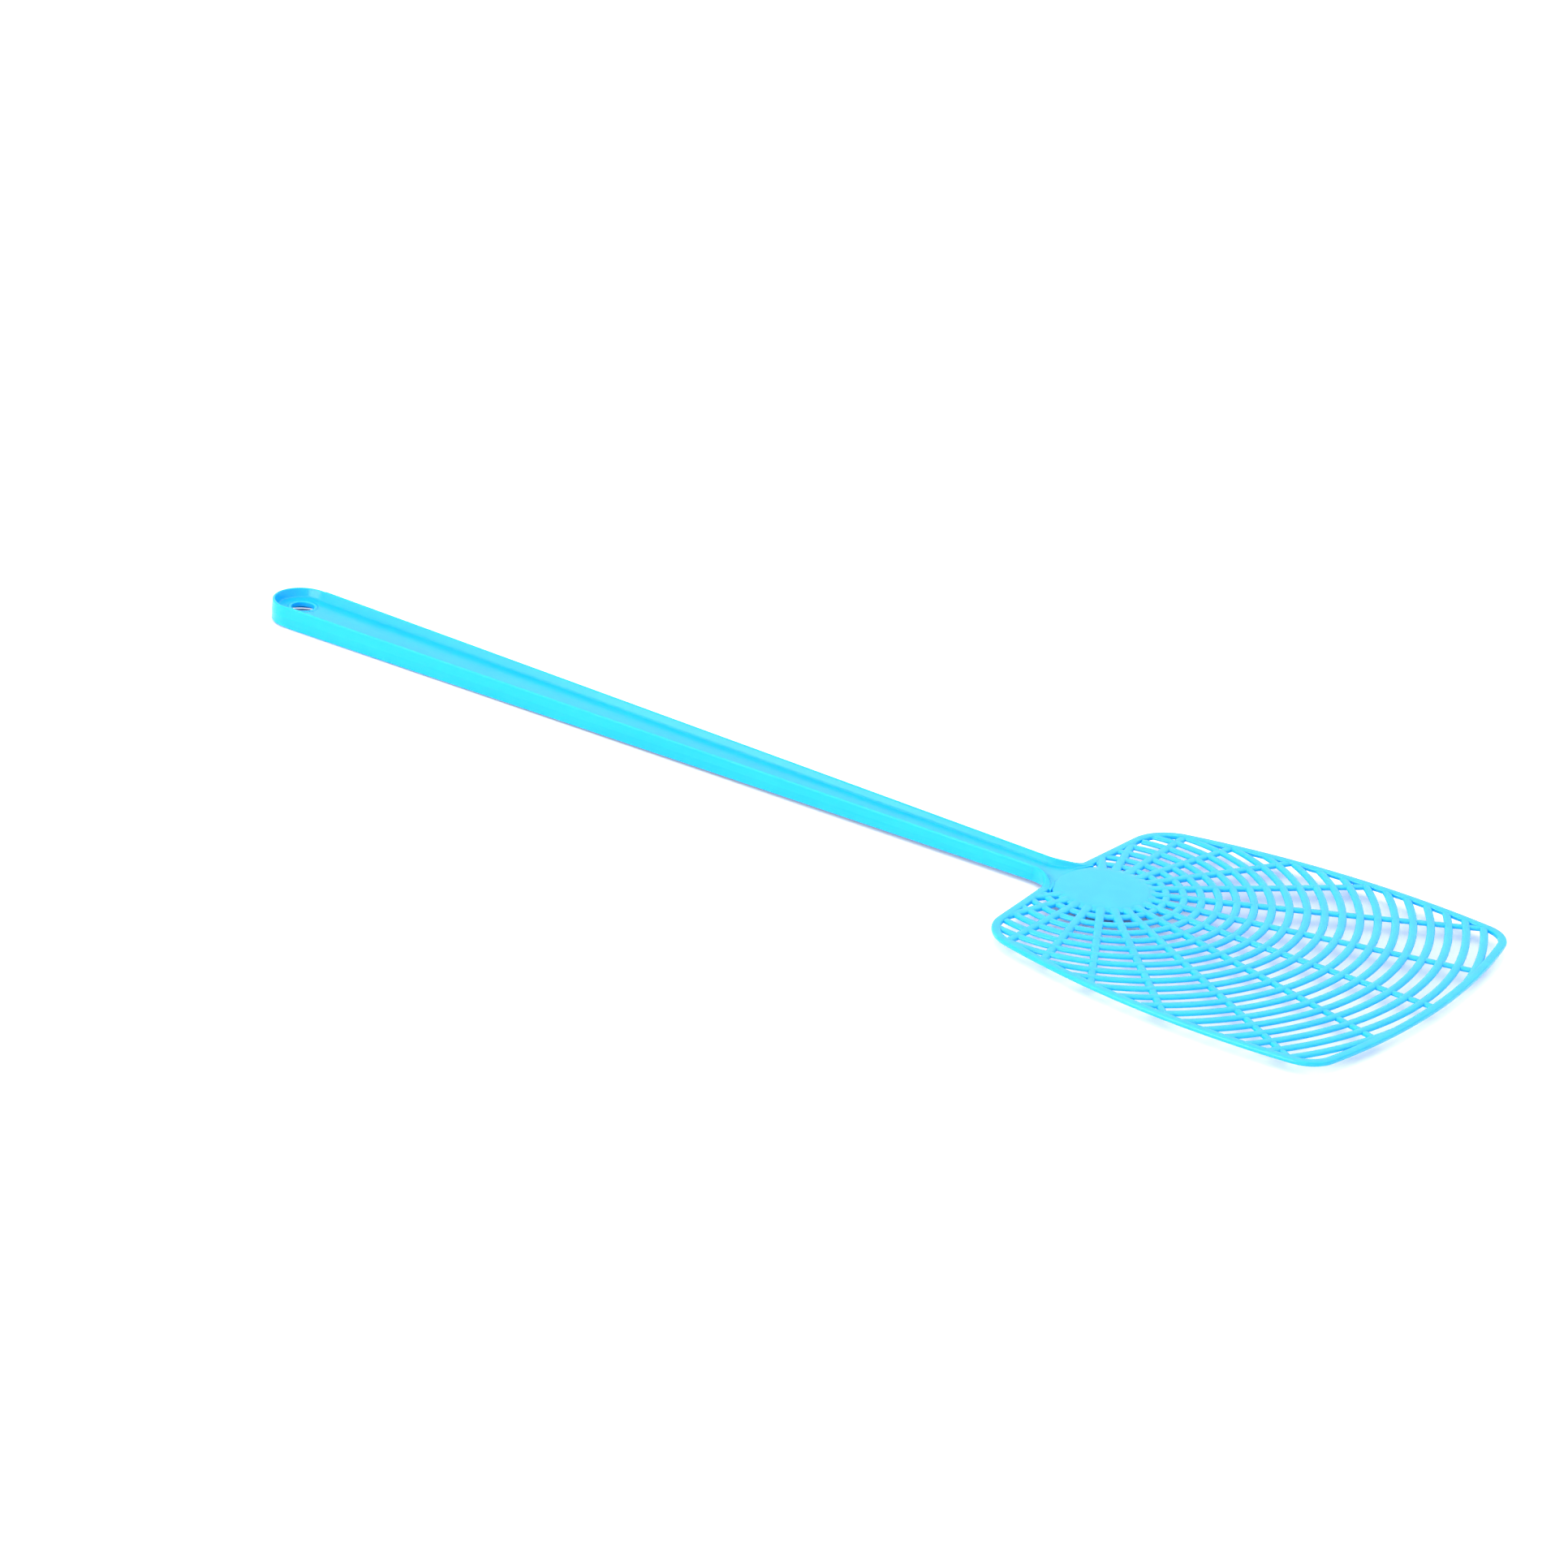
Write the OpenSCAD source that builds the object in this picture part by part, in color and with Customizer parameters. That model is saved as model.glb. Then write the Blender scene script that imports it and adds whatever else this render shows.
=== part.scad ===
// Fly swatter: a one-piece moulded swatter with a channel handle and an open lattice blade.
// X runs from the hanging end to the tip, Y to the left, Z up. The origin is under the middle of the
// whole swatter, at the height of the lowest edge. Every node is one moulded feature.

/* [Overall] */
// Length from the hanging end to the tip
overall_length = 469; // [440:1:520]

/* [Handle] */
// Width across the walls at the hanging end
handle_width_end = 22; // [18:0.2:26]
// Width across the walls where the neck begins to flare
handle_width_neck = 10.8; // [9:0.2:13]
// Height of the walls at the hanging end
handle_height_end = 8.1; // [6:0.1:10]
// Height of the walls at the neck
handle_height_neck = 5.5; // [4:0.1:6]
// Thickness of the side walls and the end wall
wall_thickness = 1.6; // [1.3:0.1:2.2]
// Thickness of the floor between the walls
floor_thickness = 1.6; // [1.2:0.1:2]
// Diameter of the hanging hole
hole_diameter = 8; // [6:0.5:10]
// Width of the raised lip round the hanging hole
lip_width = 1.3; // [1:0.1:2]
// Height that the lip stands proud of the floor, on each side
lip_height = 0.2; // [0.1:0.1:0.6]

/* [Neck] */
// Length of the straight neck that bends
flex_length = 18; // [12:1:24]
// Radius of the outer curve from the neck into the shoulder
flare_radius = 8.5; // [7:0.5:11]
// Half width of the floor between the neck and the hub
neck_floor_reach = 10.5; // [9:0.5:11]

/* [Blade outline] */
// Distance from the middle of the hub to the tip
tip_reach = 123.7; // [121:0.1:127]
// Greatest width of the blade
blade_width = 134.4; // [130:0.2:138]
// Distance from the middle of the hub to the widest place
widest_at = 73.6; // [68:0.2:78]
// Radius of the curve of the tip
tip_radius = 255; // [235:5:290]
// Radius of the curve of each side
side_radius = 277; // [255:1:300]
// Radius of the two tip corners
corner_radius = 12; // [9:0.5:14]
// Radius of the two shoulders
shoulder_radius = 16.5; // [13:0.5:18]
// Distance from the middle of the hub back to the shoulder line, on the axis
shoulder_setback = 16.6; // [16:0.1:17.6]
// Angle by which the shoulder line leans towards the tip
shoulder_lean = 3.6; // [0:0.1:6]

/* [Blade section] */
// Width of the rim
rim_width = 3; // [2.4:0.1:3.6]
// Thickness of the rim
rim_thickness = 1.6; // [1.4:0.1:2]
// Diameter of the hub plate
hub_diameter = 34.4; // [32:0.2:35]
// Height that the hub plate stands above the rim
hub_rise = 0.15; // [0.1:0.05:0.5]
// Number of rings
ring_count = 19; // [17:1:19]
// Radius of the innermost ring
first_ring_radius = 20.4; // [19.8:0.1:20.6]
// Distance from one ring to the next
ring_pitch = 5.7; // [5.6:0.1:5.7]
// Width of a ring
ring_width = 2.75; // [2.4:0.05:3.2]
// Thickness of a ring
ring_thickness = 1.2; // [1:0.05:1.4]
// Angle from one rib to the next
rib_step = 15.4; // [15:0.1:15.6]
// Number of ribs on each side of the middle rib
side_ribs = 8; // [6:1:8]
// Width of a rib at the hub
rib_width_hub = 3.1; // [2.6:0.1:3.4]
// Width of a rib at the far end of the longest rib
rib_width_tip = 2.3; // [1.8:0.1:2.6]
// Thickness of a rib
rib_thickness = 1.4; // [1.2:0.05:1.4]
// Depth from the top of the rim to the tops of the rings
ring_drop = 0.05; // [0:0.05:0.1]
// Height of the underside of the ribs above that of the rim
rib_lift = 0.1; // [0:0.05:0.2]

/* [Hidden] */
$fn = 96;
tint = [0.36, 0.84, 1];
deep_tint = [0.2, 0.72, 0.96];
big = 400;
tall = 20;
lap = 2;
corner_far = 90;
corner_out = 126;

// Places along the swatter
tip_x = overall_length / 2;
hub_x = tip_x - tip_reach;
eye_x = -overall_length / 2 + handle_width_end / 2;
mid_z = handle_height_end / 2;
neck_half = handle_width_neck / 2;
end_half = handle_width_end / 2;

// Blade outline, about the hub: each curve is an arc that runs on smoothly into the next
half_width = blade_width / 2;
lean_dir = [sin(shoulder_lean), cos(shoulder_lean)];
lean_out = [-cos(shoulder_lean), sin(shoulder_lean)];
lean_angle = 180 - shoulder_lean;
back_point = [-shoulder_setback, 0];
tip_c = [tip_reach - tip_radius, 0];
side_c = [widest_at, half_width - side_radius];
corner_c = meeting(tip_c, tip_radius - corner_radius, side_c, side_radius - corner_radius);
shoulder_line = back_point - lean_out * shoulder_radius;
shoulder_c = along(shoulder_line, lean_dir, side_c, side_radius - shoulder_radius);
flare_line = back_point + lean_out * flare_radius;
flare_c = flare_line + lean_dir * (neck_half + flare_radius - flare_line[1]) / lean_dir[1];
corner_start = direction(tip_c, corner_c);
corner_end = direction(side_c, corner_c);
shoulder_start = direction(side_c, shoulder_c);
flare_x = hub_x + flare_c[0];
flex_x = flare_x - flex_length;
sink_reach = flare_radius * cos(45);

// Heights: the rings and ribs cross in half laps at the middle height
rim_low = mid_z - rim_thickness / 2;
rim_high = mid_z + rim_thickness / 2;
ring_low = rim_high - ring_drop - ring_thickness;
rib_low = rim_low + rib_lift;
hub_r = hub_diameter / 2;
rib_reach = tip_reach + corner_radius;

// The one of two crossings of two circles that lies on the left
function meeting(a, ra, b, rb) =
    let (d = norm(b - a), u = (b - a) / d, k = (ra * ra - rb * rb + d * d) / (2 * d))
    let (h = sqrt(ra * ra - k * k), m = a + u * k, n = [-u[1], u[0]])
    m[1] + h * n[1] > m[1] - h * n[1] ? m + h * n : m - h * n;
// The outer point of a line that is r from c
function along(p, u, c, r) =
    let (e = p - c, s = e * u)
    p + u * (-s + sqrt(s * s - e * e + r * r));
function direction(a, b) = atan2(b[1] - a[1], b[0] - a[0]);
function heading(a) = [cos(a), sin(a)];
// Half width and height of the handle at x
function taper(x) = (x - eye_x) / (flare_x - eye_x);
function handle_half(x) = end_half + (neck_half - end_half) * taper(x);
function handle_height(x) = handle_height_end + (handle_height_neck - handle_height_end) * taper(x);
function ring_radius(k) = first_ring_radius + (k - 1) * ring_pitch;
function two_digits(k) = str(k < 10 ? "0" : "", k);

ring_names = [for (k = [1:ring_count]) str("ring_", two_digits(k))];
left_rib_names = [for (k = [1:side_ribs]) str("rib_left_", k)];
right_rib_names = [for (k = [1:side_ribs]) str("rib_right_", k)];
plain_names = [
    "end_wall", "handle_wall_left", "handle_wall_right", "handle_floor", "hanging_eye",
    "flex_neck",
    "neck_flare_left", "neck_flare_right", "neck_floor", "hub_plate",
    "rim_back_left", "rim_back_right", "rim_shoulder_left", "rim_shoulder_right",
    "rim_side_left", "rim_side_right", "rim_corner_left", "rim_corner_right", "rim_tip", "rib_middle"
];

// ---- Shared shapes ----

// A flat bar bent round c, from radius r0 to r1 and from angle a0 to a1
module arc_bar(c, r0, r1, a0, a1, z0, z1)
    translate([c[0], c[1], 0])
    rotate(a0)
    rotate_extrude(angle = a1 - a0, $fn = 240)
    translate([r0, z0])
    square([r1 - r0, z1 - z0]);

// The left side as drawn, or the same thing on the right
module on_side(side) mirror([0, side == "right" ? 1 : 0, 0]) children();

module at_hub() translate([hub_x, 0, 0]) children();

// A slab between two stations whose height follows the taper of the handle
module height_slab(x0, x1)
    translate([0, big / 2, 0])
    rotate([90, 0, 0])
    linear_extrude(big)
    polygon([
        [x0, mid_z - handle_height(x0) / 2], [x1, mid_z - handle_height(x1) / 2],
        [x1, mid_z + handle_height(x1) / 2], [x0, mid_z + handle_height(x0) / 2]
    ]);

// One side wall of the handle between two stations
module wall(x0, x1)
    intersection() {
        height_slab(x0, x1);
        translate([0, 0, mid_z - tall / 2])
        linear_extrude(tall)
        polygon([
            [x0, handle_half(x0)], [x0, handle_half(x0) - wall_thickness],
            [x1, handle_half(x1) - wall_thickness], [x1, handle_half(x1)]
        ]);
    }

// The floor between the walls, between two stations
module floor_strip(x0, x1)
    translate([0, 0, mid_z - floor_thickness / 2])
    linear_extrude(floor_thickness)
    polygon([
        [x0, handle_half(x0) - wall_thickness], [x0, wall_thickness - handle_half(x0)],
        [x1, wall_thickness - handle_half(x1)], [x1, handle_half(x1) - wall_thickness]
    ]);

// ---- Handle ----

module end_wall()
    color(tint)
    arc_bar([eye_x, 0], end_half - wall_thickness, end_half, 90, 270, 0, handle_height_end);

module handle_wall(side) color(tint) on_side(side) wall(eye_x, flex_x);

module handle_floor()
    color(deep_tint)
    difference() {
        union() {
            floor_strip(eye_x, flex_x);
            arc_bar([eye_x, 0], 0, end_half - wall_thickness, 90, 270,
                mid_z - floor_thickness / 2, mid_z + floor_thickness / 2);
        }
        translate([eye_x, 0, 0]) cylinder(r = hole_diameter / 2 + lip_width, h = tall);
    }

module hanging_eye()
    color(tint)
    translate([eye_x, 0, mid_z - floor_thickness / 2 - lip_height])
    difference() {
        cylinder(r = hole_diameter / 2 + lip_width, h = floor_thickness + 2 * lip_height);
        translate([0, 0, -1]) cylinder(d = hole_diameter, h = tall);
    }

// ---- Neck ----

module flex_neck()
    color(deep_tint) {
        wall(flex_x, flare_x);
        mirror([0, 1, 0]) wall(flex_x, flare_x);
        floor_strip(flex_x, flare_x);
    }

// The wall sweeps out into the shoulder while it sinks to the thickness of the rim
module neck_flare(side)
    color(tint)
    on_side(side)
    at_hub()
    intersection() {
        arc_bar(flare_c, flare_radius, flare_radius + wall_thickness, -90, lean_angle - 180, 0, tall);
        translate([flare_c[0], flare_c[1], 0])
        rotate(45)
        translate([0, big / 2, 0])
        rotate([90, 0, 0])
        linear_extrude(big)
        polygon([
            [-2 * flare_radius, mid_z - handle_height_neck / 2],
            [-sink_reach, mid_z - handle_height_neck / 2],
            [sink_reach, rim_low], [2 * flare_radius, rim_low],
            [2 * flare_radius, rim_high], [sink_reach, rim_high],
            [-sink_reach, mid_z + handle_height_neck / 2],
            [-2 * flare_radius, mid_z + handle_height_neck / 2]
        ]);
    }

module neck_floor()
    color(deep_tint)
    at_hub()
    difference() {
        translate([flare_c[0], -neck_floor_reach, rim_low])
        cube([-flare_c[0], 2 * neck_floor_reach, rim_thickness]);
        cylinder(r = hub_r, h = tall);
        for (s = [1, -1])
            translate([flare_c[0], s * flare_c[1], 0])
            cylinder(r = flare_radius + wall_thickness, h = tall);
    }

// ---- Blade: hub and rim ----

module hub_plate()
    color(tint)
    translate([hub_x, 0, rim_low])
    cylinder(r = hub_r, h = rim_thickness + hub_rise);

module rim_arc(c, r, a0, a1) at_hub() arc_bar(c, r - rim_width, r, a0, a1, rim_low, rim_high);

// The straight bar behind the lattice, from the neck to the shoulder
module rim_back(side)
    color(tint)
    on_side(side)
    at_hub()
    translate([0, 0, rim_low])
    linear_extrude(rim_thickness)
    polygon([
        flare_c - lean_out * flare_radius, flare_c - lean_out * (flare_radius + rim_width),
        shoulder_c + lean_out * (shoulder_radius - rim_width), shoulder_c + lean_out * shoulder_radius
    ]);

module rim_shoulder(side)
    color(tint) on_side(side) rim_arc(shoulder_c, shoulder_radius, shoulder_start, lean_angle);

module rim_side(side)
    color(tint) on_side(side) rim_arc(side_c, side_radius, corner_end, shoulder_start);

module rim_corner(side)
    color(tint) on_side(side) rim_arc(corner_c, corner_radius, corner_start, corner_end);

module rim_tip() color(tint) rim_arc(tip_c, tip_radius, -corner_start, corner_start);

// ---- Blade: lattice ----

// Everything beyond a rounded corner of the rim's inner edge
module corner_waste(c, r, a0, a1)
    difference() {
        linear_extrude(tall)
        polygon([
            c, c + corner_far * heading(a0), c + corner_out * heading((a0 + a1) / 2),
            c + corner_far * heading(a1)
        ]);
        translate([c[0], c[1], -1]) cylinder(r = r, h = tall + 2);
    }

// The space inside the rim
module inside_rim()
    difference() {
        intersection() {
            translate(tip_c) cylinder(r = tip_radius - rim_width, h = tall, $fn = 360);
            intersection_for(s = [1, -1])
                translate([side_c[0], s * side_c[1], 0])
                cylinder(r = side_radius - rim_width, h = tall, $fn = 360);
            intersection_for(s = [1, -1])
                translate([back_point[0] + rim_width / cos(shoulder_lean), 0, 0])
                rotate(-s * shoulder_lean)
                translate([0, -big / 2, 0])
                cube([big, big, tall]);
        }
        for (s = ["left", "right"])
            on_side(s) {
                corner_waste(corner_c, corner_radius - rim_width, corner_start, corner_end);
                corner_waste(shoulder_c, shoulder_radius - rim_width, shoulder_start, lean_angle);
            }
    }

module ring_tube(k, z0, z1)
    translate([0, 0, z0])
    difference() {
        cylinder(r = ring_radius(k) + ring_width / 2, h = z1 - z0, $fn = 180);
        translate([0, 0, -1])
        cylinder(r = ring_radius(k) - ring_width / 2, h = z1 - z0 + 2, $fn = 180);
    }

module rib_bar(k, z0, z1)
    rotate(k * rib_step)
    translate([0, 0, z0])
    linear_extrude(z1 - z0)
    polygon([
        [0, -rib_width_hub / 2], [rib_reach, -rib_width_tip / 2],
        [rib_reach, rib_width_tip / 2], [0, rib_width_hub / 2]
    ]);

// A ring, halved from below where each rib crosses it
module ring(k)
    color(tint)
    at_hub()
    difference() {
        intersection() {
            ring_tube(k, ring_low, ring_low + ring_thickness);
            inside_rim();
        }
        for (i = [-side_ribs:side_ribs]) rib_bar(i, mid_z - lap, mid_z);
    }

// A rib, halved from above where it crosses each ring
module rib(k)
    color(deep_tint)
    at_hub()
    difference() {
        intersection() {
            rib_bar(k, rib_low, rib_low + rib_thickness);
            inside_rim();
        }
        cylinder(r = hub_r, h = tall);
        for (i = [1:ring_count]) ring_tube(i, mid_z, mid_z + lap);
    }

end_wall();
handle_wall("left");  // handle_wall_left
handle_wall("right");  // handle_wall_right
handle_floor();
hanging_eye();
flex_neck();
neck_flare("left");  // neck_flare_left
neck_flare("right");  // neck_flare_right
neck_floor();
hub_plate();
rim_back("left");  // rim_back_left
rim_back("right");  // rim_back_right
rim_shoulder("left");  // rim_shoulder_left
rim_shoulder("right");  // rim_shoulder_right
rim_side("left");  // rim_side_left
rim_side("right");  // rim_side_right
rim_corner("left");  // rim_corner_left
rim_corner("right");  // rim_corner_right
rim_tip();
rib(0);  // rib_middle
for (k = [1:side_ribs]) {
    rib(k);
    rib(-k);
}
for (k = [1:ring_count])
    ring(k);
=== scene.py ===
import math

import bmesh
import bpy
import numpy as np
from mathutils import Matrix, Vector


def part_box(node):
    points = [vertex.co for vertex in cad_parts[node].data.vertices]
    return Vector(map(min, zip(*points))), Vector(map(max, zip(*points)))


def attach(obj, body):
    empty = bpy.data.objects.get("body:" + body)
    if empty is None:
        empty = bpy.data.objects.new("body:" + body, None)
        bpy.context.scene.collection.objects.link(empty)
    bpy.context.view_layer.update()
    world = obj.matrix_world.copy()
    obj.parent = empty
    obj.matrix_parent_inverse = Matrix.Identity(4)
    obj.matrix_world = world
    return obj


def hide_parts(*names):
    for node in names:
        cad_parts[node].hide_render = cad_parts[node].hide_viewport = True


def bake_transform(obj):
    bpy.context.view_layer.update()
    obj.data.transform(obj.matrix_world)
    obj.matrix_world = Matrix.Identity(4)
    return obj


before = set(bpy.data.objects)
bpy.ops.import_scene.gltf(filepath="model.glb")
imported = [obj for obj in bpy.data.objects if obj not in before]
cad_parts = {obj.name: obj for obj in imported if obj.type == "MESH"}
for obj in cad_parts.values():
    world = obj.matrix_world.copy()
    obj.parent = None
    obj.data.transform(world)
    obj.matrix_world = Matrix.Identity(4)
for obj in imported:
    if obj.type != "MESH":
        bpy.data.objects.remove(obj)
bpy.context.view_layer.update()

# A one-piece moulded fly swatter: a channel handle, a neck that bends, and a lattice blade.
# Lengths are in millimetres until a mesh is made. A section is a loop of (d, z), where d runs
# inwards from the outer face, or across a bar, and z runs up from mid-height.
MM = 0.001


def box_mm(node):
    low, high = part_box(node)
    return np.array(low) / MM, np.array(high) / MM


# ---------------------------------------------------------------- places read from the frame

floor_low, floor_high = box_mm("handle_floor")
eye_low, eye_high = box_mm("hanging_eye")
end_low, end_high = box_mm("end_wall")
flex_low, flex_high = box_mm("flex_neck")
flare_low, flare_high = box_mm("neck_flare_left")
hub_low, hub_high = box_mm("hub_plate")
tip_low, tip_high = box_mm("rim_tip")
ring_low, ring_high = box_mm("ring_10")
rib_low, rib_high = box_mm("rib_middle")

WALL = 1.6                      # the CAD's wall, all the way up

EYE = (eye_low + eye_high)[:2] / 2
HUB = (hub_low + hub_high)[:2] / 2
HUB_R = (hub_high - hub_low)[0] / 2
MID = (end_low + end_high)[2] / 2
END_HALF = end_high[1]
END_TALL = end_high[2] - MID
FLEX_X = flex_low[0]
FLARE_X = flex_high[0]
NECK_TALL = flare_high[2] - MID
NECK_HALF = flare_low[1] + WALL
FLOOR_HALF = (floor_high - floor_low)[2] / 2
LIP_R = (eye_high - eye_low)[0] / 2
LIP_HALF = (eye_high - eye_low)[2] / 2
RIM_HALF = (tip_high - tip_low)[2] / 2
TIP_X = tip_high[0] - HUB[0]
HUB_TOP = hub_high[2] - MID
HUB_BOTTOM = hub_low[2] - MID
RING_TOP = ring_high[2] - MID
RING_BOTTOM = ring_low[2] - MID
RIB_TOP = rib_high[2] - MID
RIB_BOTTOM = rib_low[2] - MID

# ---------------------------------------------------------------- sizes of the moulding

# The wall round the handle, which leans and narrows upwards from a fillet at the floor
WALL_TOP = 1.15                 # its thickness under the crest
DRAFT = 0.12                    # how far its outer face leans in
INNER_LEAN = 0.75               # how far its inner face leans in
LEAN_RISE = 2.0                 # a wall lower than this over the floor leans less
TILT_RISE = 0.6                 # a wall lower than this tilts no more
FILLET = 0.8
INNER_ROUND = 0.45
OUTER_ROUND = 0.5
OUTER_SHARE = 0.6               # the outer rounding's largest share of the wall's half height
SLIVER = 0.02                   # no rounding shrinks to less than about this
RIDGE = 0.03                    # how far the parting line at mid-height stands out
RIDGE_SHAPE = ((1.0, 0.22), (0.35, 0.12), (0.0, 0.0))   # (share of RIDGE, z)

# The hanging end
HOLE_R = 4.0
HOLE_DRAFT = 0.02
HOLE_TINY = 1e-9                # square millimetres, for rounding errors where the hole starts
LIP_ROUND = 0.42
LIP_FOOT = ((0.12, 0.03), (0.3, -0.05))     # (outside the lip, over the floor's face)
EYE_LAP = 0.6                   # how far the handle's floor runs under the lip
END_DROP = 0.22                 # how far the end wall's top is below the long walls'
DROP_START = 1.2                # where, past the eye's centre, the top starts to rise
DROP_RUN = 0.8

# The curls and the web at the neck
FLARE_R = 8.5
FLARE_STEP = 0.03               # how far the curl's floor ends under the rim's face
FLARE_TOE = 0.05                # the floor inside the curl's fillet, at its end
FLARE_WEB = 0.5                 # and how much more of it there is at its start
WEB_REACH = 10.6
WEB_GAP = 0.6                   # from the curls' walls to the web's edge, inside their floors
WEB_SINK = 1.6                  # how much faster than its length the web thins
WEB_STEP = 0.02                 # how far the web ends under the rim's face
HUB_LAP = 2.6                   # how far the web runs under the hub

# The hub plate
AXIS_GAP = 0.001
HUB_FLAT = 6.0
HUB_EDGE = (                    # (inside the hub's radius, under its top)
    (4.5, 0.0), (3.0, 0.01), (2.4, 0.04), (1.9, 0.12), (1.4, 0.24),
    (0.9, 0.32), (0.4, 0.4), (0.12, 0.55), (0.0, 0.85),
)
HUB_FOOT = 0.45
HUB_FOOT_IN = 0.5
HUB_UNDER = 1.6

# The blade's outline, about the hub
TIP_R = 255.0
SIDE_R = 277.0
CORNER_R = 12.0
SHOULDER_R = 16.5
SETBACK = 16.6                  # the back edge, behind the hub's centre
LEAN = math.radians(3.6)        # the back edges' sweep
HALF_W = 67.2
WIDEST = 73.6

# The rim and the lattice
RIM_W = 3.0
RIM_ROUND = 0.5
RIM_DRAFT = 0.08
SINK = RIM_W / 2                # how far the lattice runs into the rim
RING_W = 2.75
RINGS = 19
FIRST_RING = 20.4
RING_PITCH = 5.7
RING_POWER = 2.5                # the superellipse of a ring's dome
RING_STEP = 130.0               # degrees between stations at radius 1: about 2.3 mm apart
RING_STEP_LEAST = 0.75
LEAST_RUN = 3                   # stations in the shortest arc that is made
RIB_W_HUB = 3.1
RIB_W_TIP = 2.3
RIB_STEP = math.radians(15.4)
SIDE_RIBS = 8
RIB_POWER = 4.0                 # a rib's dome at the hub, nearly flat
RIB_POWER_FALL = 1.4            # and how much rounder it gets
RIB_POWER_RUN = 60.0            # by this distance from the hub
RIB_ROOT = (-2.8, -2.2, -1.6, -1, -0.5, 0, 0.4, 0.8, 1.3, 2, 3, 4.5)    # stations past HUB_R
RIB_ROOT_RUN = 7.0
RIB_MARCH = 0.25
ROOT_FLARE = 0.6                # a rib's extra width at the hub
ROOT_STEP = 0.03                # how far a rib starts below the hub's top
ROOT_FALL = 40.0                # the length over which it sinks to its own height
TIP_DROOP = 0.18                # how far it sinks further towards the tip
BAR_FOOT = 0.3                  # the rounding under a ring or rib

# Stations along each run
HANDLE_STATIONS = 44
NEAR_EYE = (14, 11, 8, 6)       # distances of the last stations before the hole
HOLE_STATIONS = 11
END_STATIONS = 25
NECK_STATIONS = 19
FLARE_STATIONS = 31
WEB_ROWS, WEB_COLUMNS = 15, 25
LONG_ARC, SHORT_ARC, BACK_STATIONS = 60, 28, 16
RIB_STATIONS = 16
EYE_SIDES, HUB_SIDES = 96, 128
FILLET_STEPS, INNER_STEPS, OUTER_STEPS = 6, 4, 5
EDGE_STEPS = 3
DOME_STEPS = 18

# ---------------------------------------------------------------- plane geometry


def v2(*c):
    return np.array(c, float)


MIRROR = v2(1, -1)


def heading(a):
    return v2(math.cos(a), math.sin(a))


def direction(a, b):
    return math.atan2(b[1] - a[1], b[0] - a[0])


def meeting(a, ra, b, rb):
    """The upper meeting point of two circles."""
    d = np.linalg.norm(b - a)
    u = (b - a) / d
    k = (ra * ra - rb * rb + d * d) / (2 * d)
    h = math.sqrt(ra * ra - k * k)
    n = v2(-u[1], u[0])
    p, q = a + u * k + h * n, a + u * k - h * n
    return p if p[1] > q[1] else q


# The outline of the left half, about the hub: tangent arcs from the tip back to the neck
lean_dir = v2(math.sin(LEAN), math.cos(LEAN))
lean_out = v2(-math.cos(LEAN), math.sin(LEAN))
lean_angle = math.pi - LEAN
back_point = v2(-SETBACK, 0)
tip_c = v2(TIP_X - TIP_R, 0)
side_c = v2(WIDEST, HALF_W - SIDE_R)
corner_c = meeting(tip_c, TIP_R - CORNER_R, side_c, SIDE_R - CORNER_R)
start = back_point - lean_out * SHOULDER_R
e = start - side_c
s = e @ lean_dir
shoulder_c = start + lean_dir * (-s + math.sqrt(s * s - e @ e + (SIDE_R - SHOULDER_R) ** 2))
flare_line = back_point + lean_out * FLARE_R
flare_c = flare_line + lean_dir * (NECK_HALF + FLARE_R - flare_line[1]) / lean_dir[1]
corner_a0 = direction(tip_c, corner_c)
corner_a1 = direction(side_c, corner_c)
shoulder_a0 = direction(side_c, shoulder_c)


def inset(p):
    """How far a point of the blade, about the hub, lies inside the outline."""
    q = v2(p[0], abs(p[1]))
    for c, r, a0, a1 in (
        (corner_c, CORNER_R, corner_a0, corner_a1),
        (shoulder_c, SHOULDER_R, shoulder_a0, lean_angle),
    ):
        if a0 <= direction(c, q) <= a1:
            return r - np.linalg.norm(q - c)
    return min(
        TIP_R - np.linalg.norm(q - tip_c),
        SIDE_R - np.linalg.norm(q - side_c),
        -(q - back_point) @ lean_out,
    )


# ---------------------------------------------------------------- mesh helpers

WELD = 2e-6                     # metres
DEGENERATE = 1e-7               # metres
SHARP = math.radians(38)


def arc(c, r, a0, a1, n):
    """n + 1 points of a rounding, as (d, z)."""
    return [(c[0] + r * math.cos(a), c[1] + r * math.sin(a)) for a in np.linspace(a0, a1, n + 1)]


def tube(points, normals, sections, closed=True, caps=True):
    """Vertices and faces of a bar: section i is a loop of (d, z), with d along normal i."""
    m = len(sections[0])
    verts, faces = [], []
    for p, n, section in zip(points, normals, sections):
        for d, z in section:
            verts.append((p[0] + n[0] * d, p[1] + n[1] * d, MID + z))
    last = m if closed else m - 1
    for i in range(len(points) - 1):
        for j in range(last):
            k = (j + 1) % m
            faces.append((i * m + j, i * m + k, (i + 1) * m + k, (i + 1) * m + j))
    if caps:
        faces.append(tuple(range(m - 1, -1, -1)))
        faces.append(tuple((len(points) - 1) * m + j for j in range(m)))
    return verts, faces


def lathe(centre, section, n):
    """A closed loop of (r, z), turned about the vertical through centre."""
    verts, faces = [], []
    k = len(section)
    for a in np.linspace(0, 2 * math.pi, n, endpoint=False):
        for r, z in section:
            verts.append((centre[0] + r * math.cos(a), centre[1] + r * math.sin(a), MID + z))
    for i in range(n):
        o = (i + 1) % n
        for j in range(k):
            q = (j + 1) % k
            faces.append((i * k + j, i * k + q, o * k + q, o * k + j))
    return verts, faces


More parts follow.
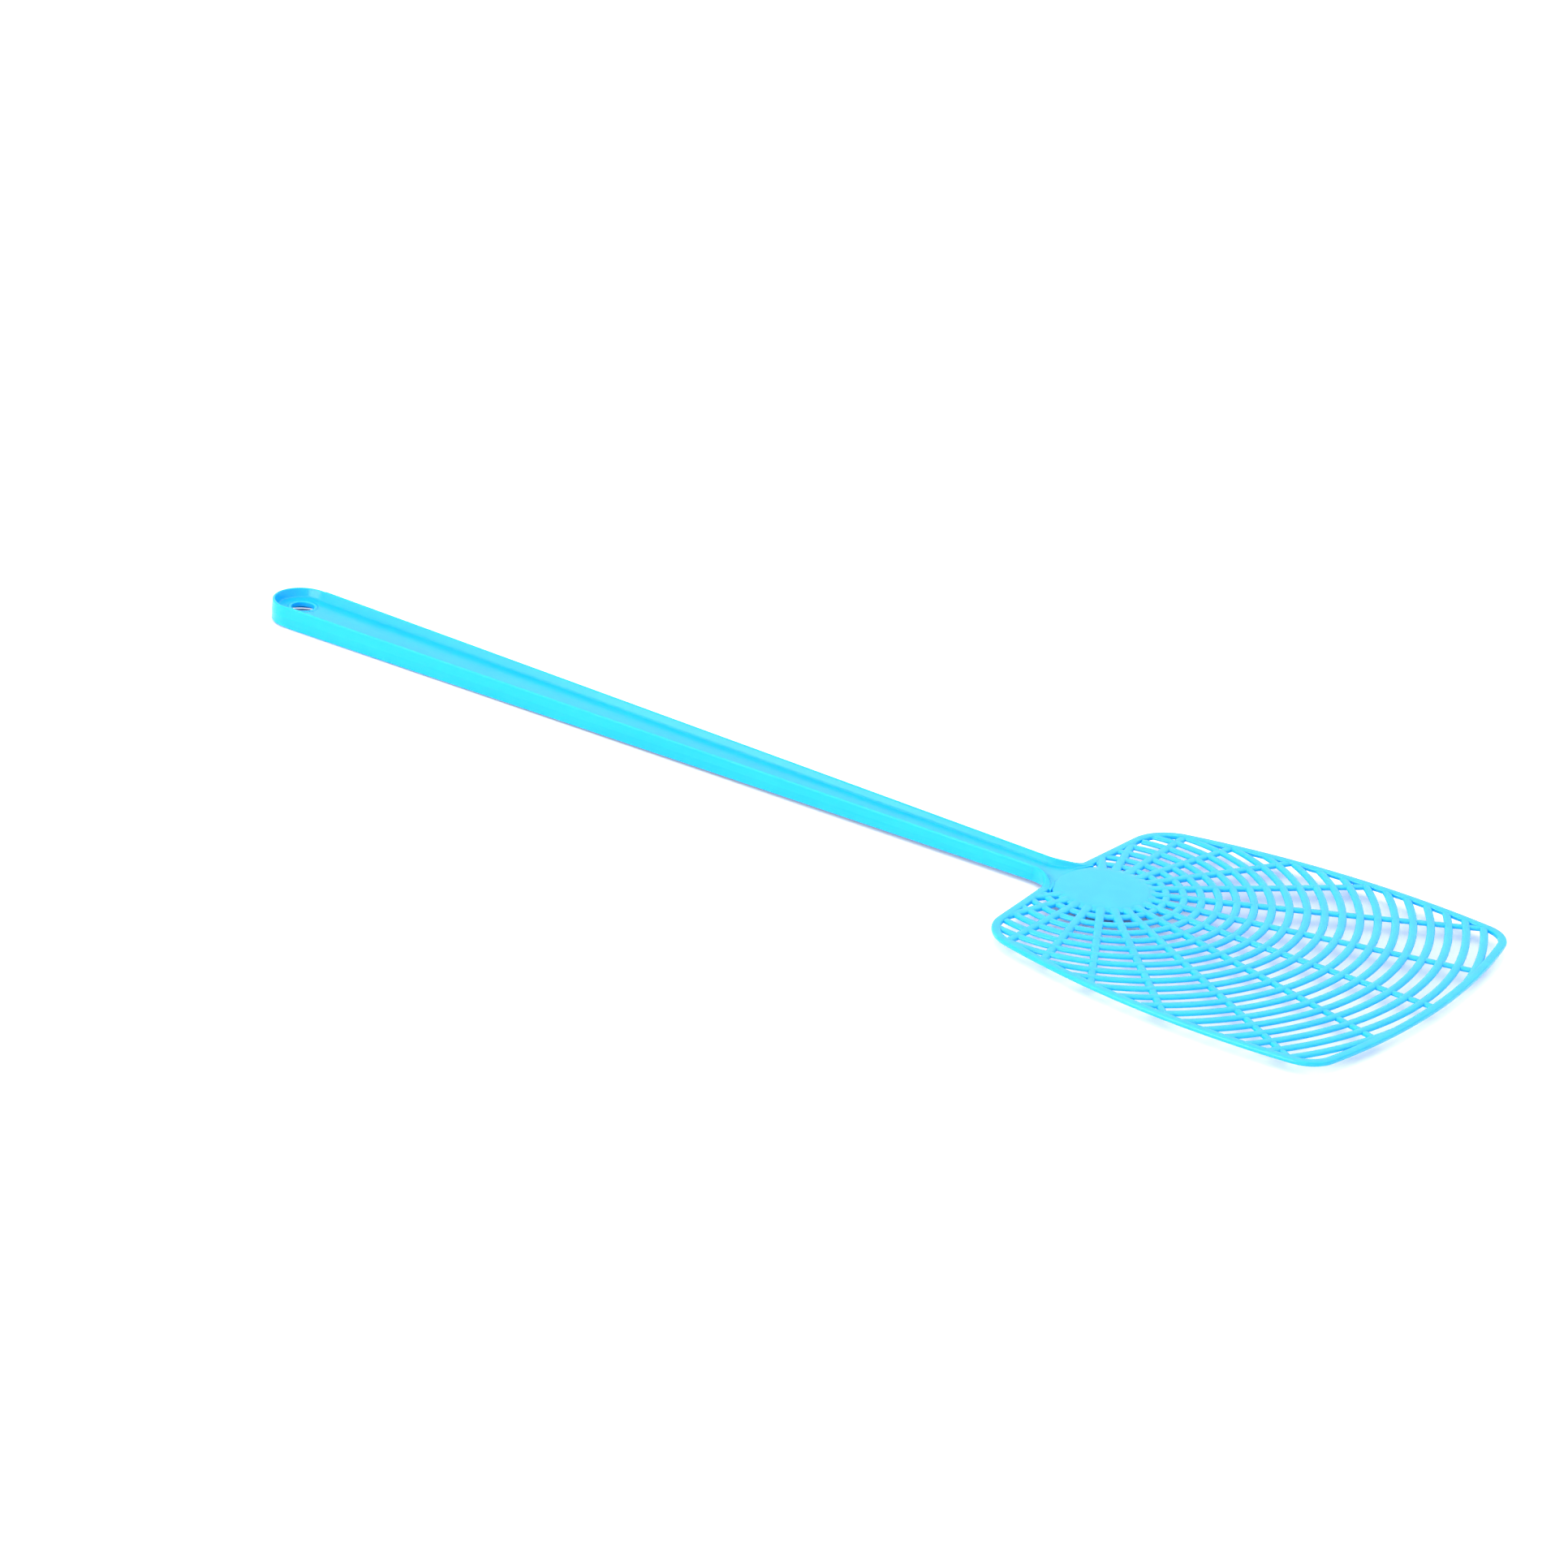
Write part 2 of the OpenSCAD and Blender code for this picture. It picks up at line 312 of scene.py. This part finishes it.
def gather(parts):
    verts, faces = [], []
    for v, f in parts:
        base = len(verts)
        verts += v
        faces += [tuple(base + i for i in face) for face in f]
    return verts, faces


def piece(name, verts, faces, material, body, replaced, weld=False, fill=False):
    """An object in metres, attached to its body's empty when it is given a body, and left unattached
    when it has none.
    """
    mesh = bpy.data.meshes.new(name)
    mesh.from_pydata([tuple(MM * c for c in v) for v in verts], [], faces)
    bm = bmesh.new()
    bm.from_mesh(mesh)
    if weld:
        bmesh.ops.remove_doubles(bm, verts=bm.verts, dist=WELD)
        bmesh.ops.dissolve_degenerate(bm, edges=bm.edges, dist=DEGENERATE)
    if fill:
        bmesh.ops.holes_fill(bm, edges=[x for x in bm.edges if x.is_boundary], sides=0)
    bmesh.ops.recalc_face_normals(bm, faces=bm.faces)
    bm.to_mesh(mesh)
    bm.free()
    mesh.shade_smooth()
    mesh.set_sharp_from_angle(angle=SHARP)
    obj = bpy.data.objects.new(name, mesh)
    bpy.context.scene.collection.objects.link(obj)
    mesh.materials.append(material)
    if body:
        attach(obj, body)
    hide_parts(*replaced)
    return obj


# ---------------------------------------------------------------- material

BLUE = (0.005, 0.36, 0.83)
BLUE_LIGHT = (0.009, 0.39, 0.85)
FLOW_ALONG = (0.25, 1, 1)       # the handle's flow marks are drawn out along it
FLOW_EVEN = (1, 1, 1)
FLOW_RANGE = (0.3, 0.72)        # the part of the noise over which the colour changes
ROUGHNESS = (0.18, 0.27)


def noise(tree, vector, scale, detail, distortion=0.0):
    n = tree.nodes.new("ShaderNodeTexNoise")
    n.inputs["Scale"].default_value = scale
    n.inputs["Detail"].default_value = detail
    n.inputs["Distortion"].default_value = distortion
    tree.links.new(vector, n.inputs["Vector"])
    return n.outputs["Fac"]


def plastic(name, shine, stretch):
    """Glossy dyed polypropylene: faint flow marks in the colour, an uneven gloss, a fine grain,
    and light that scatters a little way inside."""
    m = bpy.data.materials.new(name)
    m.use_nodes = True
    t = m.node_tree
    t.nodes.clear()
    out = t.nodes.new("ShaderNodeOutputMaterial")
    b = t.nodes.new("ShaderNodeBsdfPrincipled")
    b.inputs["IOR"].default_value = 1.41
    b.inputs["Specular IOR Level"].default_value = shine
    b.inputs["Subsurface Weight"].default_value = 0.55
    b.inputs["Subsurface Radius"].default_value = (0.06, 0.6, 1.0)
    b.inputs["Subsurface Scale"].default_value = 0.0025
    where = t.nodes.new("ShaderNodeTexCoord").outputs["Object"]
    mapping = t.nodes.new("ShaderNodeMapping")
    mapping.inputs["Scale"].default_value = stretch
    t.links.new(where, mapping.inputs["Vector"])
    stretched = mapping.outputs["Vector"]

    ramp = t.nodes.new("ShaderNodeValToRGB")
    for element, position, colour in zip(ramp.color_ramp.elements, FLOW_RANGE, (BLUE, BLUE_LIGHT)):
        element.position = position
        element.color = (*colour, 1)
    t.links.new(noise(t, stretched, 90, 3, 0.6), ramp.inputs["Fac"])
    t.links.new(ramp.outputs["Color"], b.inputs["Base Color"])

    rough = t.nodes.new("ShaderNodeMapRange")
    rough.inputs["To Min"].default_value, rough.inputs["To Max"].default_value = ROUGHNESS
    t.links.new(noise(t, stretched, 260, 2), rough.inputs["Value"])
    t.links.new(rough.outputs["Result"], b.inputs["Roughness"])

    bump = t.nodes.new("ShaderNodeBump")
    bump.inputs["Strength"].default_value = 0.12
    bump.inputs["Distance"].default_value = 0.0001
    t.links.new(noise(t, where, 700, 2), bump.inputs["Height"])
    t.links.new(bump.outputs["Normal"], b.inputs["Normal"])
    t.links.new(b.outputs["BSDF"], out.inputs["Surface"])
    return m


handle_plastic = plastic("handle_plastic", 0.3, FLOW_ALONG)
blade_plastic = plastic("blade_plastic", 0.5, FLOW_EVEN)

# ---------------------------------------------------------------- handle and neck


def taper(x):
    return (x - EYE[0]) / (FLARE_X - EYE[0])


def half_at(x):
    """Half of the handle's width."""
    return END_HALF + (NECK_HALF - END_HALF) * taper(x)


def tall_at(x):
    """Half of the handle's height."""
    return END_TALL + (NECK_TALL - END_TALL) * taper(x)


def fillet_for(rise):
    """The fillet at the foot of a wall that stands this far over the floor."""
    return min(FILLET, max(SLIVER, rise - SLIVER))


def wall_section(tall, floor_half, end, wall=WALL_TOP, draft=DRAFT, ridge=RIDGE):
    """Half of the handle's section: from the floor's top at d = end, over the wall's crest and
    down its outer face, to the floor's underside."""
    rise = tall - floor_half
    fillet = fillet_for(rise)
    inner = min(INNER_ROUND, max(SLIVER / 2, rise - fillet))
    outer = min(OUTER_ROUND, OUTER_SHARE * tall)
    lean = INNER_LEAN * min(1, max(0, rise) / LEAN_RISE)
    tilt = math.atan2(lean, max(TILT_RISE, rise))
    foot = wall + lean + fillet
    top = [(end, floor_half), ((end + foot) / 2, floor_half)]
    top += arc((foot, floor_half + fillet), fillet, -math.pi / 2, tilt - math.pi, FILLET_STEPS)
    top += arc((wall - inner, tall - inner), inner, tilt, math.pi / 2, INNER_STEPS)
    top += arc((draft + outer, tall - outer), outer, math.pi / 2, math.pi, OUTER_STEPS)
    top += [(share * ridge, z) for share, z in RIDGE_SHAPE]
    return top + [(d, -z) for d, z in reversed(top[:-1])]


def top_drop(x):
    """The tops of the long walls stand a little over the top of the end wall."""
    u = min(1, max(0, (x - EYE[0] - DROP_START) / DROP_RUN))
    return END_DROP * (1 - u * u * (3 - 2 * u))


# The handle: its left wall from the neck to the eye, round the end, and back along the right.
# Each station is a point, a normal, a section, and whether the hole in the floor is beside it.
cut = LIP_R - EYE_LAP
along = list(np.linspace(FLEX_X, EYE[0] + NEAR_EYE[0], HANDLE_STATIONS))
along += [EYE[0] + d for d in NEAR_EYE[1:]]
along += [EYE[0] + cut * math.cos(a) for a in np.linspace(0, math.pi / 2, HOLE_STATIONS)[:-1]]
stations = []
for x in along:
    y = half_at(x)
    reach = cut * cut - (x - EYE[0]) ** 2
    edge = math.sqrt(reach) if reach > HOLE_TINY else 0.0
    section = wall_section(tall_at(x) - top_drop(x), FLOOR_HALF, y - edge)
    stations.append((v2(x, y), v2(0, -1), section, edge > 0))
end_section = wall_section(END_TALL - END_DROP, FLOOR_HALF, END_HALF - cut)
for a in np.linspace(math.pi / 2, math.pi, END_STATIONS):
    stations.append((EYE + END_HALF * heading(a), -heading(a), end_section, True))
stations += [(p * MIRROR, n * MIRROR, section, hole) for p, n, section, hole in stations[-2::-1]]
points, normals, sections, beside_hole = zip(*stations)
verts, faces = tube(points, normals, sections, closed=False, caps=False)
m = len(sections[0])
for i in range(len(points) - 1):
    if beside_hole[i] or beside_hole[i + 1]:
        faces.append((i * m + m - 1, i * m, (i + 1) * m, (i + 1) * m + m - 1))
piece(
    "handle", verts, faces, handle_plastic, "handle",
    ("end_wall", "handle_wall_left", "handle_wall_right", "handle_floor"), weld=True, fill=True,
)

# The hanging eye: a lip that stands proud on both faces, with a rounded crest and a soft foot
shoulder = LIP_HALF - LIP_ROUND
top = [(HOLE_R, 0.0), (HOLE_R + HOLE_DRAFT, shoulder)]
top += arc((HOLE_R + HOLE_DRAFT + LIP_ROUND, shoulder), LIP_ROUND, math.pi, math.pi / 2, 5)[1:]
top += arc((LIP_R - LIP_ROUND, shoulder), LIP_ROUND, math.pi / 2, math.pi / 4, 3)
top += [(LIP_R + outside, FLOOR_HALF + over) for outside, over in LIP_FOOT]
verts, faces = lathe(EYE, top + [(r, -z) for r, z in reversed(top[1:])], EYE_SIDES)
piece("hanging_eye_lip", verts, faces, handle_plastic, "handle", ("hanging_eye",))

# The neck, which bends from the end of the handle to the start of the flare
xs = np.linspace(FLEX_X, FLARE_X, NECK_STATIONS)
sections = [wall_section(tall_at(x), FLOOR_HALF, half_at(x)) for x in xs]
walls = []
for mirror in (v2(1, 1), MIRROR):
    points = [v2(x, half_at(x)) * mirror for x in xs]
    walls.append(tube(points, [v2(0, -1) * mirror] * len(xs), sections, closed=False, caps=False))
verts, faces = gather(walls)
neck = piece("neck", verts, faces, handle_plastic, None, ("flex_neck",), weld=True, fill=True)
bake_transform(neck)

# ---------------------------------------------------------------- flare, web, hub and rim


def bar_section(width, half, rounding, draft):
    """A flat bar, d from 0 to width, with rounded edges and drafted sides."""
    r = min(rounding, half - SLIVER)
    top = [(0.0, 0.0)]
    top += arc((draft + r, half - r), r, math.pi, math.pi / 2, EDGE_STEPS)
    top += arc((width - draft - r, half - r), r, math.pi / 2, 0, EDGE_STEPS)
    top += [(width, 0.0)]
    return top + [(d, -z) for d, z in reversed(top[1:-1])]


def flare_section(t):
    """The wall's section at t = 0 sinks to the rim's at t = 1 as it curls outwards."""
    sunk = t**3 * (4 - 3 * t)
    tall = NECK_TALL + (RIM_HALF - NECK_TALL) * sunk
    wall = WALL_TOP + (RIM_W - WALL_TOP) * t**3
    floor_half = FLOOR_HALF + (RIM_HALF - FLARE_STEP - FLOOR_HALF) * t
    foot = fillet_for(tall - floor_half) + INNER_LEAN
    return wall_section(
        tall, floor_half, wall + foot + FLARE_TOE + FLARE_WEB * (1 - t), wall=wall,
        draft=DRAFT * (1 - 0.5 * t), ridge=RIDGE * (1 - t),
    )


for side, mirror in (("left", v2(1, 1)), ("right", MIRROR)):
    points, normals, sections = [], [], []
    for t in np.linspace(0, 1, FLARE_STATIONS):
        a = -math.pi / 2 + t * (lean_angle - math.pi / 2)
        points.append((HUB + flare_c + FLARE_R * heading(a)) * mirror)
        normals.append(heading(a) * mirror)
        sections.append(flare_section(t))
    verts, faces = tube(points, normals, sections)
    piece(f"neck_curl_{side}", verts, faces, handle_plastic, "blade", (f"neck_flare_{side}",))

# The web between the curls, which runs under the edge of the hub. Each row of it is its top
# from side to side, and then its underside.
verts, faces = [], []
clear_r = FLARE_R + WALL + WEB_GAP
for t in np.linspace(0, 1, WEB_ROWS):
    x = FLARE_X + (HUB[0] - HUB_R + HUB_LAP - FLARE_X) * t
    local = x - HUB[0] - flare_c[0]
    edge = WEB_REACH
    if local < clear_r:
        edge = min(edge, flare_c[1] - math.sqrt(clear_r**2 - local**2))
    z = FLOOR_HALF + (RIM_HALF - WEB_STEP - FLOOR_HALF) * min(1, WEB_SINK * t)
    for up in (1, -1):
        for y in np.linspace(-edge, edge, WEB_COLUMNS):
            verts.append((x, y, MID + up * z))
row = 2 * WEB_COLUMNS
for i in range(WEB_ROWS - 1):
    for j in range(WEB_COLUMNS - 1):
        a, b = i * row + j, (i + 1) * row + j
        faces.append((a, a + 1, b + 1, b))
        faces.append((a + WEB_COLUMNS, b + WEB_COLUMNS, b + WEB_COLUMNS + 1, a + WEB_COLUMNS + 1))
    for j in (0, WEB_COLUMNS - 1):
        a, b = i * row + j, (i + 1) * row + j
        faces.append((a, b, b + WEB_COLUMNS, a + WEB_COLUMNS))
for i in (0, WEB_ROWS - 1):
    above = [i * row + j for j in range(WEB_COLUMNS)]
    faces.append(tuple(above + [j + WEB_COLUMNS for j in reversed(above)]))
piece("neck_web", verts, faces, blade_plastic, "blade", ("neck_floor",))

# The hub plate: flat, with an edge that falls away softly to the ribs
hub_section = [(AXIS_GAP, HUB_TOP), (HUB_FLAT, HUB_TOP)]
hub_section += [(HUB_R - inward, HUB_TOP - drop) for inward, drop in HUB_EDGE]
hub_section += arc((HUB_R - HUB_FOOT_IN, HUB_BOTTOM + HUB_FOOT), HUB_FOOT, 0, -math.pi / 2, 4)
hub_section += [(r, HUB_BOTTOM) for r in (HUB_R - HUB_UNDER, HUB_FLAT, AXIS_GAP)]
verts, faces = lathe(HUB, hub_section, HUB_SIDES)
piece("hub", verts, faces, blade_plastic, "blade", ("hub_plate",), weld=True)


def outline_arc(c, r, a0, a1, n):
    """Stations of the outline, each a point about the hub and its inward normal."""
    return [(c + r * heading(a), -heading(a)) for a in np.linspace(a0, a1, n)]


# The rim, one bar from curl to curl
outline = outline_arc(tip_c, TIP_R, 0, corner_a0, LONG_ARC)
outline += outline_arc(corner_c, CORNER_R, corner_a0, corner_a1, SHORT_ARC)[1:]
outline += outline_arc(side_c, SIDE_R, corner_a1, shoulder_a0, LONG_ARC)[1:]
outline += outline_arc(shoulder_c, SHOULDER_R, shoulder_a0, lean_angle, SHORT_ARC)[1:]
back_start = outline[-1][0]
back_end = flare_c - lean_out * FLARE_R
for t in np.linspace(0, 1, BACK_STATIONS)[1:]:
    outline.append((back_start + (back_end - back_start) * t, -lean_out))
path = [(p * MIRROR, n * MIRROR) for p, n in outline[:0:-1]] + outline
rim_section = bar_section(RIM_W, RIM_HALF, RIM_ROUND, RIM_DRAFT)
verts, faces = tube([HUB + p for p, n in path], [n for p, n in path], [rim_section] * len(path))
rim_nodes = ["rim_tip"] + [
    f"rim_{part}_{side}" for part in ("back", "shoulder", "side", "corner") for side in ("left", "right")
]
piece("blade_rim", verts, faces, blade_plastic, "blade", rim_nodes)

# ---------------------------------------------------------------- rings and ribs


def dome_section(width, low, high, power):
    """A bar's section, d centred on 0, from z low to z high, flat below and domed above: the
    dome is a superellipse, rounder the nearer its power is to 2."""
    half = width / 2
    edge = low + BAR_FOOT
    section = []
    for a in np.linspace(math.pi, 0, DOME_STEPS + 1):
        c, up = math.cos(a), math.sin(a)
        d = math.copysign(abs(c) ** (2 / power), c)
        section.append((half * d, edge + (high - edge) * max(up, 0.0) ** (2 / power)))
    section += arc((half - BAR_FOOT, edge), BAR_FOOT, 0, -math.pi / 2, EDGE_STEPS)[1:]
    section += arc((-half + BAR_FOOT, edge), BAR_FOOT, -math.pi / 2, -math.pi, EDGE_STEPS)[:-1]
    return section


def runs_inside(radius):
    """The stretches of a circle about the hub that lie inside the rim, as lists of angles."""
    step = math.radians(max(RING_STEP_LEAST, RING_STEP / radius))
    count = int(2 * math.pi / step)
    runs, run = [], []
    for i in range(count + 1):
        a = -math.pi + 2 * math.pi * i / count
        if inset(radius * heading(a)) > SINK:
            run.append(a)
        else:
            runs.append(run)
            run = []
    return [run for run in runs + [run] if len(run) >= LEAST_RUN]


for k in range(1, RINGS + 1):
    radius = FIRST_RING + (k - 1) * RING_PITCH
    section = dome_section(RING_W, RING_BOTTOM, RING_TOP, RING_POWER)
    parts = []
    for run in runs_inside(radius):
        points = [HUB + radius * heading(a) for a in run]
        parts.append(tube(points, [heading(a) for a in run], [section] * len(run)))
    verts, faces = gather(parts)
    piece(f"lattice_ring_{k:02d}", verts, faces, blade_plastic, "blade", (f"ring_{k:02d}",))

full_reach = TIP_X + CORNER_R
root_rise = HUB_TOP - ROOT_STEP - RIB_TOP
for k in range(-SIDE_RIBS, SIDE_RIBS + 1):
    u = heading(k * RIB_STEP)
    across = v2(-u[1], u[0])
    far = HUB_R
    while inset(u * far) > SINK:
        far += RIB_MARCH
    root = [HUB_R + d for d in RIB_ROOT]
    distances = root + list(np.linspace(HUB_R + RIB_ROOT_RUN, far, RIB_STATIONS))
    sections = []
    for d in distances:
        width = RIB_W_HUB + (RIB_W_TIP - RIB_W_HUB) * d / full_reach
        width += ROOT_FLARE * math.exp(HUB_R - max(d, HUB_R))
        lift = root_rise * max(0, 1 - (d - HUB_R) / ROOT_FALL) - TIP_DROOP * d / full_reach
        power = RIB_POWER - RIB_POWER_FALL * min(1, d / RIB_POWER_RUN)
        sections.append(dome_section(width, RIB_BOTTOM, RIB_TOP + lift, power))
    verts, faces = tube([HUB + u * d for d in distances], [across] * len(distances), sections)
    name = "middle" if k == 0 else f"{'left' if k > 0 else 'right'}_{abs(k)}"
    piece(f"lattice_rib_{name}", verts, faces, blade_plastic, "blade", (f"rib_{name}",))

# ---------------------------------------------------------------- floor, light and camera

# In metres, degrees and watts
FLOOR_REACH = 12.0
FLOOR_GAP = 0.0002              # the floor's top, under the part
PAPER = (0.9, 0.9, 0.9, 1)
PAPER_ROUGHNESS = 0.9
SKY_LOW, SKY_TOP = 1.2, 2.3     # the sky's strength below SKY_FADE and overhead
SKY_FADE = 0.42
KEY_AZIMUTH, KEY_ELEVATION, KEY_DISTANCE = -105, 20, 3.0
KEY_WIDTH, KEY_HEIGHT, KEY_POWER = 2.6, 1.2, 80
AIM = Vector((-0.01202, -0.00482, 0.00445))
AZIMUTH, ELEVATION, DISTANCE, ROLL = -57.142, 23.758, 1.7942, 4.847
LENS, SENSOR, CLIP_END = 123.4, 36, 100


def outwards(azimuth, elevation):
    a, h = math.radians(azimuth), math.radians(elevation)
    return Vector((math.cos(a) * math.cos(h), math.sin(a) * math.cos(h), math.sin(h)))


def facing(way):
    return way.to_track_quat("-Z", "Y")


scene = bpy.context.scene
floor_mesh = bpy.data.meshes.new("floor")
corners = [(x * FLOOR_REACH, y * FLOOR_REACH, 0) for x, y in ((-1, -1), (1, -1), (1, 1), (-1, 1))]
floor_mesh.from_pydata(corners, [], [(0, 1, 2, 3)])
floor = bpy.data.objects.new("floor", floor_mesh)
floor.location.z = -FLOOR_GAP
scene.collection.objects.link(floor)
paper = bpy.data.materials.new("paper")
paper.use_nodes = True
paper.node_tree.nodes["Principled BSDF"].inputs["Base Color"].default_value = PAPER
paper.node_tree.nodes["Principled BSDF"].inputs["Roughness"].default_value = PAPER_ROUGHNESS
floor_mesh.materials.append(paper)

# A white sky that brightens overhead
world = bpy.data.worlds.new("studio")
scene.world = world
world.use_nodes = True
sky = world.node_tree
sky_where = sky.nodes.new("ShaderNodeTexCoord")
sky_split = sky.nodes.new("ShaderNodeSeparateXYZ")
sky.links.new(sky_where.outputs["Generated"], sky_split.inputs["Vector"])
sky_fade = sky.nodes.new("ShaderNodeMapRange")
sky_fade.interpolation_type = "SMOOTHSTEP"
sky_fade.inputs["From Min"].default_value = SKY_FADE
sky_fade.inputs["From Max"].default_value = 1.0
sky_fade.inputs["To Min"].default_value = SKY_LOW
sky_fade.inputs["To Max"].default_value = SKY_TOP
sky.links.new(sky_split.outputs["Z"], sky_fade.inputs["Value"])
sky.links.new(sky_fade.outputs["Result"], sky.nodes["Background"].inputs["Strength"])
sky.nodes["Background"].inputs["Color"].default_value = (1, 1, 1, 1)

# A wide key light from the near left
key_data = bpy.data.lights.new("key", "AREA")
key_data.shape = "RECTANGLE"
key_data.size, key_data.size_y, key_data.energy = KEY_WIDTH, KEY_HEIGHT, KEY_POWER
key = bpy.data.objects.new("key", key_data)
key.location = outwards(KEY_AZIMUTH, KEY_ELEVATION) * KEY_DISTANCE
key.rotation_euler = facing(-key.location).to_euler()
scene.collection.objects.link(key)

# The photograph's viewing angle
out = outwards(AZIMUTH, ELEVATION)
camera_data = bpy.data.cameras.new("camera")
camera_data.sensor_width, camera_data.lens, camera_data.clip_end = SENSOR, LENS, CLIP_END
camera = bpy.data.objects.new("camera", camera_data)
turned = facing(-out).to_matrix() @ Matrix.Rotation(math.radians(ROLL), 3, "Z")
camera.matrix_world = Matrix.Translation(AIM + out * DISTANCE) @ turned.to_4x4()
scene.collection.objects.link(camera)
scene.camera = camera
scene.view_settings.view_transform = "Standard"
